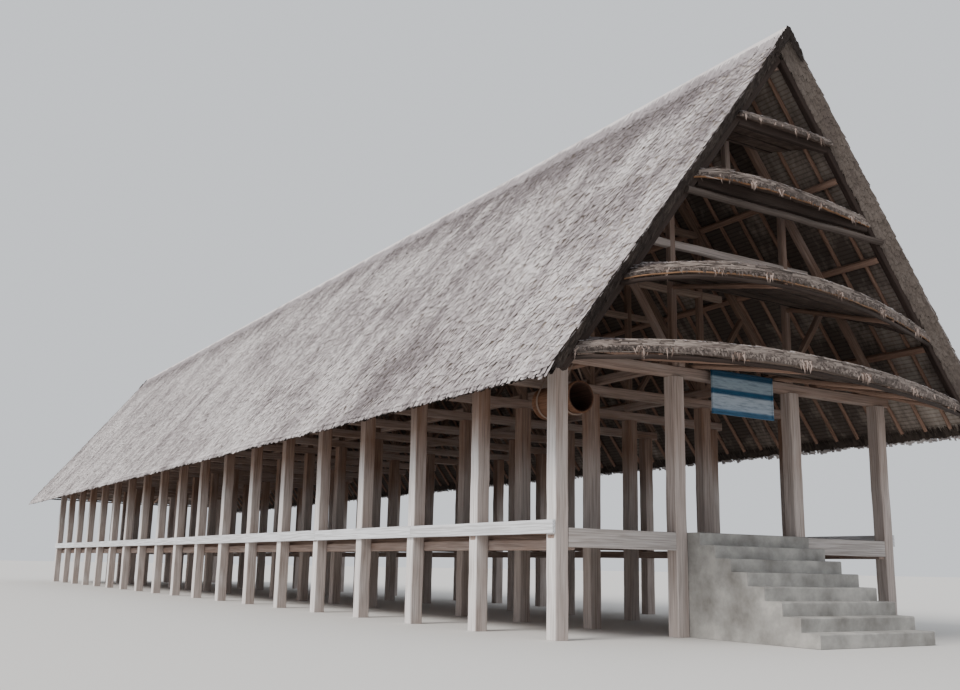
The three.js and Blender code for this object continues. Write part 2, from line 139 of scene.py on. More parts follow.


# Dry sago-palm leaf, folded and sewn in courses: quite matt, grey with a faint pink cast. It gives the eye
# soft mottling a hand wide and drawn out down the slope, and wide paler runs where rain has washed it.
# "leafShade" is each leaf's own tone, and in places painted shade as well.
def palmLeaf(name, dark, mid, light, leafTone=0.16, stretch=(3.4, 10.0, 3.4), course=0.0):
    material, add = newMaterial(name)
    place = add("TexCoord").outputs["Object"]
    # the last are the fibres: 1 mm wide, too fine to show from here, and drawn 12 mm wide
    mottle, runs, patch, fibre = (
        add("TexNoise", {"Vector": add("Mapping", {"Vector": place, "Scale": scale}),
                         "Scale": 1.0, "Detail": detail, "Roughness": roughness})
        for scale, detail, roughness in ((stretch, 6.0, 0.68), ((0.3, 1.7, 0.4), 4.0, 0.6),
                                         ((0.7, 0.7, 0.7), 4.0, 0.55), ((6.0, 80.0, 6.0), 3.0, 0.6)))
    tone, shade = mottle, add("Attribute", attribute_name="leafShade").outputs["Fac"]
    for share, source in ((0.56, runs), (0.32, patch), (leafTone, shade)):
        tone = add("MixRGB", {"Fac": share, "Color1": tone, "Color2": source})
    coloured = add("ValToRGB", {"Fac": tone}, stops=[(0.41, dark), (0.50, mid), (0.585, light)])
    height = add("Math", {0: fibre, 1: mottle}, operation="ADD")
    if course:
        # seen from below, the sewn edges show as thin level lines, one for each course down the slope;
        # their dark side is painted shadow under each course's edge
        rows = add("Mapping", {"Vector": place, "Scale": (0.0, 0.02, 1.0)})
        wave = add("TexWave", {"Vector": rows, "Scale": 1 / (course * math.sin(pitch) * 3.14),
                               "Distortion": 0.9, "Detail": 3.0},
                   bands_direction="Z", wave_profile="SAW").outputs["Fac"]
        edge = add("ValToRGB", {"Fac": wave}, stops=[(0.0, "#8d857e"), (0.4, "#ffffff")])
        coloured = add("MixRGB", {"Fac": 0.6, "Color1": coloured, "Color2": edge}, blend_type="MULTIPLY")
        height = add("Math", {0: wave, 1: 0.4, 2: height}, operation="MULTIPLY_ADD")
    return finishMaterial(material, coloured, height, 0.010, 0.95)


# Trowelled cement, grey and stained: fine grit, wide damp patches, dull
def castCement():
    material, add = newMaterial("trowelledCement")
    place = add("TexCoord").outputs["Object"]
    patch, grit = (
        add("TexNoise", {"Vector": place, "Scale": scale, "Detail": detail, "Roughness": roughness})
        for scale, detail, roughness in ((2.4, 6.0, 0.6), (160.0, 2.0, 0.7)))
    stops = [(0.3, "#7d7a76"), (0.52, "#9d9b97"), (0.7, "#b9b6b1")]
    coloured = add("ValToRGB", {"Fac": patch}, stops=stops)
    height = add("Math", {0: grit, 1: 0.35, 2: patch}, operation="MULTIPLY_ADD")
    return finishMaterial(material, coloured, height, 0.006, 0.88)


# Brushed house paint on planks: deep blue ground with two paler worn bands, rubbed thin in places, and the
# darkest blue along the top, painted shadow of the awning over it
def paintedBoard(top, height):
    material, add = newMaterial("brushedBluePaint")
    place = add("TexCoord").outputs["Object"]
    level = add("SeparateXYZ", {"Vector": place}).outputs["Z"]
    share = add("MapRange", {"Value": level, "From Min": top, "From Max": top - height})
    # the darkest blue, at the top, is painted shadow of the awning
    bands = add("ValToRGB", {"Fac": share}, stops=[
        (0.0, "#1b3a50"), (0.12, "#204661"), (0.16, "#8d9fad"), (0.39, "#91a1ad"), (0.43, "#21506f"),
        (0.52, "#235476"), (0.56, "#aab7c4"), (0.86, "#a5b3c2"), (0.90, "#446f90"), (1.0, "#305c7d")])
    strokes = add("TexNoise", {"Vector": add("Mapping", {"Vector": place, "Scale": (5.0, 5.0, 42.0)}),
                               "Scale": 1.0, "Detail": 5.0, "Roughness": 0.65})
    worn = add("ValToRGB", {"Fac": strokes}, stops=[(0.3, "#6f7f8c"), (0.55, "#ffffff")])
    coloured = add("MixRGB", {"Fac": 0.55, "Color1": bands, "Color2": worn}, blend_type="MULTIPLY")
    return finishMaterial(material, coloured, strokes, 0.0015, 0.5)


finishes = {
    "frame": hewnHardwood("hewnFrameTimber", "#8e7262", "#765c4d", "#cdc6c3", "#e8e4e2", 0.3),
    "rafter": hewnHardwood("roundRafterWood", "#a08070", "#806556", "#94857a", "#b3a498", 0.2),
    # the verge finish is dark brown, painted shade, for timbers that lie in the shade of the thatch
    "verge": hewnHardwood("darkShadedVergePole", "#3a2e29", "#2a211d", "#776c65", "#948a83", 0.3),
    # the roof finish is darker: smoke, and painted shade inside the roof
    "roof": hewnHardwood("smokedAndShadedRoofTimber", "#7b6253", "#5f4a3e", "#948074", "#ab9a8e", 0.3),
    "plank": hewnHardwood("sawnFloorPlank", "#94796a", "#735c4b", "#9c9085", "#c2b7ad", 0.3),
    "pale": hewnHardwood("sunBleachedPlank", "#b7aeaa", "#a0968f", "#d3d4d7", "#eaecf0", 0.08),
    "drum": hewnHardwood("hollowedLogWood", "#4c352c", "#3a2821", "#7d5843", "#936c54", 0.05, 0.02),
    "batten": hewnHardwood("peeledBattenPole", "#8f6a4b", "#6f503a", "#74604f", "#907a68", 0.15),
    "leaf": palmLeaf("weatheredPalmLeaf", "#7d7576", "#aea6a6", "#d6d0cf", 0.10),
    "ridgeLeaf": palmLeaf("ridgePalmLeaf", "#867f80", "#978f91", "#a9a3a4", 0.1),
    "vergeLeaf": palmLeaf("shadedLeafEnds", "#574e4a", "#615852", "#6f6660", 0.12, (4.0, 9.0, 4.0)),
    # the dark leaf ends are painted shade: under the eave, on the verges turned from the sun and over the
    # apex
    "darkLeaf": palmLeaf("shadedDarkLeafEnds", "#2b2421", "#3a322e", "#4f4640", 0.2, (7.0, 7.0, 7.0)),
    "strand": palmLeaf("boundLeafStrands", "#4b433f", "#6b605b", "#8c817a", 0.26, (2.0, 9.0, 9.0)),
    "tuft": palmLeaf("paleLeafTips", "#64554d", "#8b776d", "#b09d93", 0.55),
    # the awnings' underside finish is dark: painted shade
    "awningUnder": palmLeaf("shadedAwningLeafUnderside", "#463b35", "#61534b", "#7c6d64"),
    "underside": palmLeaf("sewnLeafUnderside", "#5f5650", "#978c83", "#b5aba2", course=0.075),
    "cement": castCement(),
}
print("finishes made")


# Meshes
def placePiece(name, mesh, finish, node):
    mesh.materials.append(finishes[finish])
    piece = bpy.data.objects.new(name, mesh)
    bpy.context.scene.collection.objects.link(piece)
    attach(piece, "root")
    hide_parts(node)


def newPiece(name, vertices, quads, triangles, finish, node, attributes, smooth=False):
    mesh = bpy.data.meshes.new(name)
    quads = np.asarray(quads, np.int32).reshape(-1, 4)
    triangles = np.asarray(triangles, np.int32).reshape(-1, 3)
    loops = np.concatenate([quads.ravel(), triangles.ravel()])
    sizes = np.repeat([4, 3], [len(quads), len(triangles)]).astype(np.int32)
    mesh.vertices.add(len(vertices))
    mesh.vertices.foreach_set("co", np.asarray(vertices, np.float32).ravel())
    mesh.loops.add(len(loops))
    mesh.loops.foreach_set("vertex_index", loops)
    mesh.polygons.add(len(sizes))
    mesh.polygons.foreach_set("loop_start", (np.cumsum(sizes) - sizes).astype(np.int32))
    mesh.polygons.foreach_set("loop_total", sizes)
    mesh.polygons.foreach_set("use_smooth", np.full(len(sizes), smooth))
    mesh.update(calc_edges=True)
    for attribute, values in attributes.items():
        kind, field = ("FLOAT_VECTOR", "vector") if np.ndim(values) == 2 else ("FLOAT", "value")
        data = mesh.attributes.new(attribute, kind, "POINT").data
        data.foreach_set(field, np.asarray(values, np.float32).ravel())
    placePiece(name, mesh, finish, node)


def turned(points, turn):
    # the back gable is the front one turned half round
    return points * np.array([turn, turn, 1.0])


def unit(vectors):
    return vectors / np.linalg.norm(vectors, axis=1)[:, None]


def lengthAlong(path):
    return np.concatenate([[0], np.cumsum(np.linalg.norm(np.diff(path, axis=0), axis=1))])


def boxSection(width, height, corner):
    # a rectangle with cut corners, anticlockwise in (across, up)
    w, h, c = width / 2, height / 2, corner
    return np.array([(w - c, -h), (w, c - h), (w, h - c), (w - c, h), (c - w, h), (-w, h - c),
                     (-w, c - h), (c - w, -h)])


def roundSection(radius, sides):
    angle = np.arange(sides) * 2 * np.pi / sides
    return np.stack([radius * np.cos(angle), radius * np.sin(angle)], 1)


def tube(n, m):
    # n rings of m points each: their numbers, each ring's next points, and the faces between the rings
    ring = np.arange(n * m).reshape(n, m)
    after = np.roll(ring, -1, 1)
    return ring, after, np.stack([ring[:-1], ring[1:], after[1:], after[:-1]], -1).reshape(-1, 4)


class Members:
    # gathers timbers into one mesh: each is a section carried along a path, closed at both ends. Its size
    # is (width, height, cut corner) if it is squared, and (radius, sides) if it is round.
    def __init__(self, turn=1):
        self.parts, self.count, self.turn = [], 0, turn

    def add(self, path, size, bleach=0.0, wobble=0.004, up=(0, 0, 1)):
        # point = path(s) + across(s) * sectionX + upward(s) * sectionY, with across = tangent x up
        section = boxSection(*size) if len(size) == 3 else roundSection(*size)
        n, m = len(path), len(section)
        tangent = unit(np.gradient(path, axis=0))
        across = unit(np.cross(tangent, up))
        upward = np.cross(across, tangent)
        if n > 2 and wobble:
            sway = rng.normal(0, wobble, (n, 2))
            sway[[0, -1]] = 0
            path = path + across * sway[:, :1] + upward * sway[:, 1:]
        points = path[:, None] + across[:, None] * section[:, :1] + upward[:, None] * section[:, 1:]
        ring, after, quads = tube(n, m)
        first = np.full(m, n * m)
        caps = np.concatenate([np.stack([first, ring[0], after[0]], 1),
                               np.stack([first + 1, after[-1], ring[-1]], 1)])
        vertices = np.concatenate([points.reshape(-1, 3), path[:1], path[-1:]])
        along = lengthAlong(path)
        grain = np.stack(np.broadcast_arrays(along[:, None], section[None, :, 0], section[None, :, 1]), -1)
        grain = np.concatenate([grain.reshape(-1, 3), [[0, 0, 0]], [[along[-1], 0, 0]]])
        grain = grain + rng.uniform(-40, 40, 3)
        tone = bleach(vertices) if callable(bleach) else np.full(len(vertices), float(bleach))
        self.parts.append((vertices, quads + self.count, caps + self.count, grain, tone))
        self.count += len(vertices)

    def beam(self, x, y, z, steps, size, bleach=0.0, wobble=0.004, up=None):
        # straight: whichever of x, y and z is a pair goes from its first value to its second
        pairs = [v if isinstance(v, tuple) else (v, v) for v in (x, y, z)]
        standing = isinstance(z, tuple) and not isinstance(x, tuple)
        self.add(np.linspace(*zip(*pairs), steps), size, bleach, wobble,
                 up or ((0, 1, 0) if standing else (0, 0, 1)))

    def make(self, name, finish, node, slotName="timber"):
        vertices, quads, triangles, grain, bleach = map(np.concatenate, zip(*self.parts))
        newPiece(name, turned(vertices, self.turn), quads, triangles, finish, node,
                 {"grain": grain, "bleach": bleach})


def smoothStep(low, high, value):
    t = np.clip((value - low) / (high - low), 0, 1)
    return t * t * (3 - 2 * t)


# Posts are bleached up to about 2.6 m and browner above it, painted shade of the eave, and most on the
# outside of the outer rows. The gable frames' posts, which no eave shades, are bleached to the top.
postTone = {"shade": (2.2, 3.1), "gable": (16.9, 16.99), "outside": (3.322, 3.334), "least": 0.04,
            "open": 0.42, "gableShare": 0.75, "outer": 0.1, "outerLow": 0.6}


def postBleachAndShade(points):
    x, y, z = np.abs(points).T
    low = 1 - smoothStep(*postTone["shade"], z)
    gable = postTone["gableShare"] * smoothStep(*postTone["gable"], y)
    outer = (postTone["outer"] + postTone["outerLow"] * low) * smoothStep(*postTone["outside"], x)
    return postTone["least"] + postTone["open"] * np.maximum(low, gable) + outer


# Cross frames. A level timber is given as (bottom, top, half length, width).
cross = {
    "tie": (3.575, 3.728, 3.4845, 0.15), "bearer": (1.2527, 1.3527, 3.3345, 0.15),
    "lowCollar": (5.510, 5.625, 1.70, 0.1), "highCollar": (6.590, 6.705), "depth": 0.1, "upright": 0.11,
    "brace": 0.09, "braceFoot": (1.185, 3.798), "braceRise": 1.4457, "rafterFoot": 3.44,
    "corner": 0.012, "smoked": 0.12,
}


def crossFrame(y):
    # the timbers up to the tie, and those over it
    timbers, truss = Members(), Members()
    corner, depth, smoked, inner = cross["corner"], cross["depth"], cross["smoked"], house["innerRow"]
    footX, footZ = cross["braceFoot"]
    lift = footZ - cross["braceRise"] * footX
    headX = (layer["rafterUnder"] - lift) / (cross["braceRise"] + slope)
    middle = (layer["rafterTop"] + layer["rafterUnder"]) / 2
    rafter = (depth, (layer["rafterTop"] - layer["rafterUnder"]) / plumb, corner)
    post, upright = (house["postSide"], house["postSide"], corner), (cross["upright"], depth, corner)

    def level(members, bottom, top, half, width, steps, bleach, wobble):
        size = (width, top - bottom, corner)
        members.beam((-half, half), y, (bottom + top) / 2, steps, size, bleach, wobble)

    for side in (-1, 1):
        for row in (house["outerRow"], inner):
            timbers.beam(side * row, y, (0, cross["tie"][0]), 14, post, postBleachAndShade, 0.0022)
        truss.beam(side * inner, y, (cross["tie"][1] - 0.02, heightAt("rafterUnder", inner) + 0.03), 6,
                   upright, smoked, 0.002)
        truss.beam((side * footX, side * headX), y, (footZ, lift + cross["braceRise"] * headX), 6,
                   (depth, cross["brace"], corner), smoked, 0.003)
        truss.beam((side * cross["rafterFoot"], side * 0.02), y,
                   (middle - slope * cross["rafterFoot"], middle - slope * 0.02), 10, rafter, smoked, 0.003)
    level(timbers, *cross["tie"], 14, 0.16, 0.002)
    level(timbers, *cross["bearer"], 8, 0.15, 0.0015)
    # the lower collar is bleached paler than the rest of the truss: painted light where it catches the light
    level(truss, *cross["lowCollar"], 8, 0.5, 0.003)
    low, high = cross["highCollar"]
    level(truss, low, high, reachAt("rafterUnder", (low + high) / 2) + 0.03, depth, 6, 0.3, 0.003)
    truss.beam(0, y, (low + 0.02, layer["rafterUnder"] + 0.02), 5, upright, 0.25, 0.002)
    return timbers, truss


for i, y in enumerate(framePlaces, 1):
    timbers, truss = crossFrame(y)
    timbers.make(f"crossTimbers{i:02d}", "frame", f"cross_frame_{i:02d}")
    # smoke and painted shade keep the timbers inside the roof darker; only the gable frames are washed pale
    finish = "roof" if 1 < i < house["frames"] else "frame"
    truss.make(f"roofTimbers{i:02d}", finish, f"cross_frame_{i:02d}")
print("cross frames made")


# Long timbers: x and z of the middle, and size
longTimbers = {"plate": (1.07970, 3.79330, (0.11, 0.13, 0.012)), "plateReach": 17.175,
               "girder": (3.0692, 1.1824, (0.12, 0.14, 0.01)), "girderReach": 17.174,
               "purlins": {"Eave": 3.150, "Low": 2.157, "High": 1.302}, "purlinSide": 0.1,
               "ridge": (0.12, 0.165, 0.02), "gap": 0.003, "step": 0.0012}


def alongHouse(name, finish, node, x, z, size, reach, bleach, lengths, wobble, up=None):
    # a run of timbers laid end to end, each a little out of line with the next
    run, gap = Members(), longTimbers["gap"]
    cuts = np.linspace(-reach, reach, lengths + 1)
    for a, b in zip(cuts[:-1], cuts[1:]):
        shift = rng.normal(0, longTimbers["step"], 2)
        run.beam(x + shift[0], (a + gap, b - gap), z + shift[1], 10, size, bleach, wobble, up)
    run.make(name, finish, node)


def layLongTimbers():
    end, size = house["timberEnd"], longTimbers["purlinSide"]
    normal = np.array([math.sin(pitch), 0, math.cos(pitch)])
    for sideName, side in sides:
        x, z, section = longTimbers["plate"]
        alongHouse(f"{sideName}InnerPlate", "frame", f"{sideName}_inner_plate", side * x, z, section,
                   longTimbers["plateReach"], 0.15, 9, 0.002)
        for place, x in longTimbers["purlins"].items():
            middle = np.array([x, 0, heightAt("purlinTop", x)]) - normal * size / 2
            alongHouse(f"{sideName}{place}Purlin", "rafter", f"{sideName}_{place.lower()}_purlin",
                       side * middle[0], middle[2], (size, size, 0.016), end, 0.1, 7, 0.0025,
                       (side * normal[0], 0, normal[2]))
        x, z, section = longTimbers["girder"]
        alongHouse(f"{sideName}FloorGirder", "frame", f"{sideName}_floor_girder", side * x, z, section,
                   longTimbers["girderReach"], 0.2, 6, 0.0015)
    width, height, _ = longTimbers["ridge"]
    alongHouse("ridgeBeam", "frame", "ridge_beam", 0, heightAt("purlinTop", width / 2) - height / 2,
               longTimbers["ridge"], end, 0.1, 7, 0.003)


layLongTimbers()
print("long timbers made")


# Floor: planks along the house between the rows of posts, and short ones between the posts of a row
floor = {"thickness": 0.04, "seam": 0.005, "front": -17.1752, "back": 17.2025, "plankWidth": 0.155}


def plankFloor():
    planks, thick = Members(), floor["thickness"] - 0.002
    half, z = house["postSide"] / 2, house["floorTop"] - floor["thickness"] / 2
    postRows = [-house["outerRow"], -house["innerRow"], house["innerRow"], house["outerRow"]]
    rows = []
    for left, right in zip(postRows[:-1], postRows[1:]):
        low, high = left + half, right - half
        edges = np.linspace(low, high, round((high - low) / floor["plankWidth"]) + 1)
        rows += list(zip(edges[:-1], edges[1:]))
    for k, (low, high) in enumerate(rows):
        # each plank spans two bays, and its joints are one bay off its neighbour's
        cuts = [floor["front"], *framePlaces[1 + k % 2:-1:2], floor["back"]]
        for a, b in zip(cuts[:-1], cuts[1:]):
            planks.beam((low + high) / 2, (a + 0.002, b - 0.002), z - rng.uniform(0.001, 0.0025), 3,
                        (high - low - floor["seam"], thick, 0.004), rng.uniform(-0.1, 0.45), 0.0)
    for x in postRows:
        for a, b in zip(framePlaces[:-1], framePlaces[1:]):
            planks.beam(x, (a + half + 0.003, b - half - 0.003), z - 0.001, 3,
                        (house["postSide"] - floor["seam"], thick, 0.004), rng.uniform(0, 0.5), 0.0)
    planks.make("floorPlanks", "plank", "floor_deck")


# Pale edge planks: along each side, and across both gables
edgeBoards = {"sideX": 3.3573, "sideThickness": 0.041, "bottom": 1.310, "top": 1.500, "sideReach": 17.2,
              "frontY": -17.188, "frontThickness": 0.023, "frontSpan": (1.296, 3.126), "backY": 17.2253,
              "backThickness": 0.042, "backSpans": ((-3.33, 0.0), (0.004, 3.33)),
              "gableBottom": 1.143, "gableTop": 1.393}


def paleBoards():
    e = edgeBoards
    cuts = np.linspace(-e["sideReach"], e["sideReach"], 10)
    for sideName, side in sides:
        boards = Members()
        for a, b in zip(cuts[:-1], cuts[1:]):
            trim = rng.uniform(0, 0.012)
            size = (e["sideThickness"], e["top"] - e["bottom"] - trim - 0.004, 0.006)
            boards.beam(side * e["sideX"], (a + 0.003, b - 0.003), (e["bottom"] + e["top"]) / 2 - trim / 2,
                        8, size, rng.uniform(0.85, 1.1), 0.0008)
        boards.make(f"{sideName}SideBoards", "pale", f"{sideName}_side_board", "pale_board")
    # the gable fascias are bleached far less than the side boards: browner, painted shade on the gable faces
    z, height = (e["gableBottom"] + e["gableTop"]) / 2, e["gableTop"] - e["gableBottom"] - 0.004
    for sideName, side in sides:
        fascia, (a, b) = Members(), e["frontSpan"]
        size = (e["frontThickness"], height, 0.005)
        fascia.beam((side * a, side * b), e["frontY"], z, 8, size, 0.15, 0.0006)
        fascia.make(f"frontFascia{sideName.capitalize()}", "pale", f"front_floor_board_{sideName}",
                    "pale_board")
    back = Members()
    for span in e["backSpans"]:
        back.beam(span, e["backY"], z, 8, (e["backThickness"], height, 0.006), 0.3, 0.0008)
    back.make("backFascia", "pale", "back_floor_board", "pale_board")


plankFloor()
paleBoards()
print("floor and edge boards made")


class Leaves:
    # gathers leaves into one mesh. Each is a closed wedge with four corners. One that is laid in a course
    # starts at a point, hidden under the next course, and ends in a ragged three-cornered edge. A pointed
    # one is the other way round.
    def __init__(self, turn=1, reach=house["thatchEnd"]):
        self.parts, self.count, self.turn, self.reach = [], 0, turn, reach

    def add(self, root, direction, outward, width, length, thickness, shade, ragged=0.03, pointed=False,
            power=1.0, shift=0.0):
        # width, length and thickness are values or ranges. corner = end point +- across * width / 2, or
        # + outward * thickness, with the three a little uneven
        count = len(root)
        w, l, t = ((rng.uniform(*v, count) if isinstance(v, tuple) else np.broadcast_to(v, count))[:, None]
                   for v in (width, length, thickness))
        down = unit(direction)
        across = unit(np.cross(outward, down)) * (w / 2)
        uneven = rng.uniform(-1, 1, (count, 3, 1)) * ragged
        tip = root + down * l
        point, wide = (tip, root) if pointed else (root, tip)
        corners = np.stack([point, wide - across + down * uneven[:, 0], wide + across + down * uneven[:, 1],
                            wide + outward * t + down * uneven[:, 2]], 1)
        base = (np.arange(count) * 4)[:, None] + self.count
        triangles = np.concatenate([base + np.array(face[::-1] if pointed else face)
                                    for face in ((0, 3, 2), (0, 1, 3), (0, 2, 1), (1, 2, 3))])
        tone = rng.uniform(*shade, count) ** power + shift
        self.parts.append((corners.reshape(-1, 3), triangles, np.repeat(tone, 4)))
        self.count += count * 4

    def make(self, name, finish, node):
        vertices, triangles, shades = map(np.concatenate, zip(*self.parts))
        ends = self.reach - rng.uniform(0, 0.018, len(vertices))
        vertices[:, 1] = np.clip(vertices[:, 1], -ends, ends)
        vertices[:, 0] = np.clip(vertices[:, 0], 0.001 - house["eaveX"], house["eaveX"] - 0.001)
        newPiece(name, turned(vertices, self.turn), [], triangles, finish, node,
                 {"leafShade": shades})


def gridSolid(top, under):
    # two grids of points, (rows, columns, 3), closed round their edges; top faces outward when
    # (row direction) x (column direction) points out of it
    rows, columns = top.shape[:2]
    grid = np.arange(rows * columns).reshape(rows, columns)
    cells = np.stack([grid[:-1, :-1], grid[1:, :-1], grid[1:, 1:], grid[:-1, 1:]], -1).reshape(-1, 4)
    below = rows * columns
    faces = [cells, cells[:, ::-1] + below]
    for edge in (grid[0], grid[:, -1], grid[-1, ::-1], grid[::-1, 0]):
        faces.append(np.stack([edge[:-1], edge[1:], edge[1:] + below, edge[:-1] + below], -1))
    return np.concatenate([top.reshape(-1, 3), under.reshape(-1, 3)]), np.concatenate(faces)


def leafSheet(name, top, under, finish, node, shade, mirrored=False, deepShade=0.0):
    # painted shade darkens the inside of the roof, but for the last metre at the gables
    if mirrored:
        top, under = top[:, ::-1], under[:, ::-1]
    vertices, quads = gridSolid(top, under)
    dark = deepShade * (1 - smoothStep(16.6, 17.7, np.abs(vertices[:, 1])))
    newPiece(name, vertices, quads, [], finish, node,
             {"leafShade": rng.uniform(*shade, len(vertices)) - dark})


# Roof thatch. Distances down the slope start at the ridge; depths are square to the slope.
thatch = {"exposure": 0.118, "spacing": 0.048, "overlap": 0.10, "lift": 0.014, "rootDepth": 0.034,
          "leaf": {"width": (0.05, 0.10), "thickness": (0.003, 0.006), "shade": (0.1, 0.9)},
          "matTop": 0.030, "matUnder": 0.118, "cornerRadius": 0.15, "thickness": 0.200, "recess": 0.182,
          "rafterSpacing": 0.45, "rafter": (0.032, 8), "rafterDepth": 0.155, "fringeOuter": 0.05,
          "fringe": (0.012, 0.030, 0.055, 0.080, 0.105, 0.130, 0.155), "fringeSpacing": 0.042,
          "fringeLeaf": {"width": (0.04, 0.08), "thickness": 0.006, "shade": (0.3, 1.1), "ragged": 0.015},
          "packingUnder": 0.192, "packingInset": 0.105, "vergeRows": (0.014, 0.182, 12),
          "vergeSpacing": 0.050,
          "vergeLeaf": {"width": (0.04, 0.06), "length": (0.16, 0.24), "thickness": 0.0025,
                        "shade": (0.2, 0.8), "ragged": 0.02}}
slopeLength = math.hypot(house["eaveX"], house["ridgeZ"] - house["eaveZ"])


def vergeAt(distance):
    # half length of the roof at a distance down the slope: straight, then rounded at the eave's corner
    r = thatch["cornerRadius"]
    into = np.clip(distance - (slopeLength - r), 0, r)
    return house["thatchEnd"] - r + np.sqrt(r * r - into * into)


def recessAt(depth):
    return thatch["recess"] * depth / thatch["thickness"]


def eaveAt(depth):
    # distance down the slope at which the level cut of the eave meets a depth
    return (house["ridgeZ"] - house["eaveZ"] - depth * math.cos(pitch)) / math.sin(pitch)


def slopePoint(side, distance, y, depth):
    x = distance * math.cos(pitch) - depth * math.sin(pitch)
    z = house["ridgeZ"] - distance * math.sin(pitch) - depth * math.cos(pitch)
    return np.stack(np.broadcast_arrays(side * x, y, z), -1)


def slopeAxes(side):
    # down the slope, and square out of it
    return (np.array([side * math.cos(pitch), 0, -math.sin(pitch)]),
            np.array([side * math.sin(pitch), 0, math.cos(pitch)]))


def evenPlaces(half, spacing, sway, margin=0.03):
    # places along the house, each moved a little
    count = int(2 * half / spacing)
    return np.linspace(margin - half, half - margin, count) + rng.normal(0, sway, count)


def stray(count, spread):
    # how far leaves turn aside along the house
    return np.array([0, 1, 0]) * rng.normal(0, spread, (count, 1))


def topLeaves(sideName, side):
    down, out = slopeAxes(side)
    leaves, full = Leaves(), thatch["exposure"] + thatch["overlap"]
    courses = np.arange(0.16, slopeLength - 0.02, thatch["exposure"])
    for tip in np.append(courses, slopeLength - 0.015):
        half = vergeAt(min(tip, slopeLength - 0.001))
        y = np.clip(evenPlaces(half, thatch["spacing"], 0.012), 0.024 - half, half - 0.024)
        count = len(y)
        start = np.maximum(tip - full + rng.normal(0, 0.030, count), 0.0)
        length = np.minimum(full + rng.normal(0, 0.014, count), slopeLength - 0.036 - start)
        lift = thatch["lift"] * rng.uniform(0.6, 1.5, count) / length
        # darker under the ridge, paler towards the back
        shift = 0.4 * smoothStep(-15.0, -4.0, y) - 1.05 * (1 - smoothStep(0.2, 1.8, tip))
        direction = down + out * lift[:, None] + stray(count, 0.07)
        root = slopePoint(side, start, y, thatch["rootDepth"])
        leaves.add(root, direction, out, length=length, shift=shift, **thatch["leaf"])
    leaves.make(f"{sideName}ThatchLeaves", "leaf", f"{sideName}_thatch")


def sewnMat(sideName, side):
    # the mat under the leaves, cut level at the eave and standing back at the verges
    share, a = np.meshgrid(np.linspace(0, 1, 30), np.linspace(-1, 1, 60), indexing="ij")
    ripple = rng.normal(0, 0.002, share.shape)

    def sheet(depth):
        # from the middle of the house, where the other slope's mat meets it
        d = depth * slope + share * (eaveAt(depth) - 0.05 - depth * slope)
        return slopePoint(side, d, a * (vergeAt(d) - recessAt(depth) - 0.012), depth + ripple)

    leafSheet(f"{sideName}ThatchMat", sheet(thatch["matTop"]), sheet(thatch["matUnder"]), "underside",
              f"{sideName}_thatch", (0.3, 0.7), side < 0, deepShade=0.6)


def raggedness(y, spacing, spread):
    # random heights at even places along the house, joined by straight lines
    places = np.arange(-19, 19 + spacing, spacing)
    return np.interp(y, places, rng.uniform(0, spread, len(places)))


def eaveFringe(sideName, side):
    # leaf ends in rows under each other, cut level, the top rows ragged and drooping at the corners
    down, out = slopeAxes(side)
    outer, inner = Leaves(), Leaves()
    for depth in thatch["fringe"]:
        y = evenPlaces(vergeAt(slopeLength - 0.1) - recessAt(depth), thatch["fringeSpacing"], 0.015)
        leaves, hang = (outer, 0.8) if depth < thatch["fringeOuter"] else (inner, 0.25)
        droop = raggedness(y, 0.10, 0.060) + raggedness(y, 0.4, 0.045)
        droop += 0.05 * smoothStep(17.9, 18.4, np.abs(y))
        length = rng.uniform(0.15, 0.20, len(y)) + droop * hang
        direction = down - upwards * 0.25 * hang + stray(len(y), 0.10)
        root = slopePoint(side, eaveAt(depth) - 0.17, y, depth)
        leaves.add(root, direction, out, length=length, **thatch["fringeLeaf"])
    outer.make(f"{sideName}EaveFringe", "leaf", f"{sideName}_thatch")
    # the inner rows under the eave take the dark leaf ends: painted shade
    inner.make(f"{sideName}EaveUnderside", "darkLeaf", f"{sideName}_thatch")


def vergeEdge(sideName, side):
    # at each verge the layers stand back one under the other, down to the outer face of the verge rafter
    down, out = slopeAxes(side)
    # the verges whose receding face turns from the sun take the darkest ends, painted shade
    verges = [(end, f"{sideName}{name}Verge", "vergeLeaf" if side * end < 0 else "darkLeaf")
              for end, name in ((-1, "Front"), (1, "Back"))]
    share, a = np.meshgrid(np.linspace(0, 1, 60), np.linspace(0, 1, 4), indexing="ij")

    def sheet(end, depth):
        d = depth * slope + share * (eaveAt(depth) - 0.06 - depth * slope)
        inner = house["timberEnd"] + thatch["packingInset"]
        outer = np.maximum(vergeAt(d) - recessAt(depth) - 0.012, inner + 0.002)
        y = end * (inner + a * (outer - inner))
        return slopePoint(side, d, y, depth + rng.normal(0, 0.001, d.shape))

    for end, name, finish in verges:
        top, under = sheet(end, thatch["matUnder"] - 0.004), sheet(end, thatch["packingUnder"])
        leafSheet(f"{name}Packing", top, under, finish, f"{sideName}_thatch", (0.3, 0.7), side * end > 0)
    for end, name, finish in verges:
        # leaves lie along the receding face, whose normal leans out of the gable and under the slope
        leaves = Leaves()
        face = unit(np.array([[0, end * thatch["thickness"], 0]]) - out[None] * thatch["recess"])
        for depth in np.linspace(*thatch["vergeRows"]):
            start = np.arange(0.02, eaveAt(depth) - 0.24, thatch["vergeSpacing"])
            count = len(start)
            start = start + rng.normal(0, 0.02, count)
            y = end * (vergeAt(start) - recessAt(depth) - rng.uniform(0.008, 0.013, count))
            root = slopePoint(side, start, y, depth + rng.normal(0, 0.004, count))
            direction = down + face * rng.uniform(-0.01, 0.012, (count, 1))
            direction = direction - out * rng.uniform(0.0, 0.12, (count, 1))
            leaves.add(root, direction, face, **thatch["vergeLeaf"])
        leaves.make(f"{name}Leaves", finish, f"{sideName}_thatch")


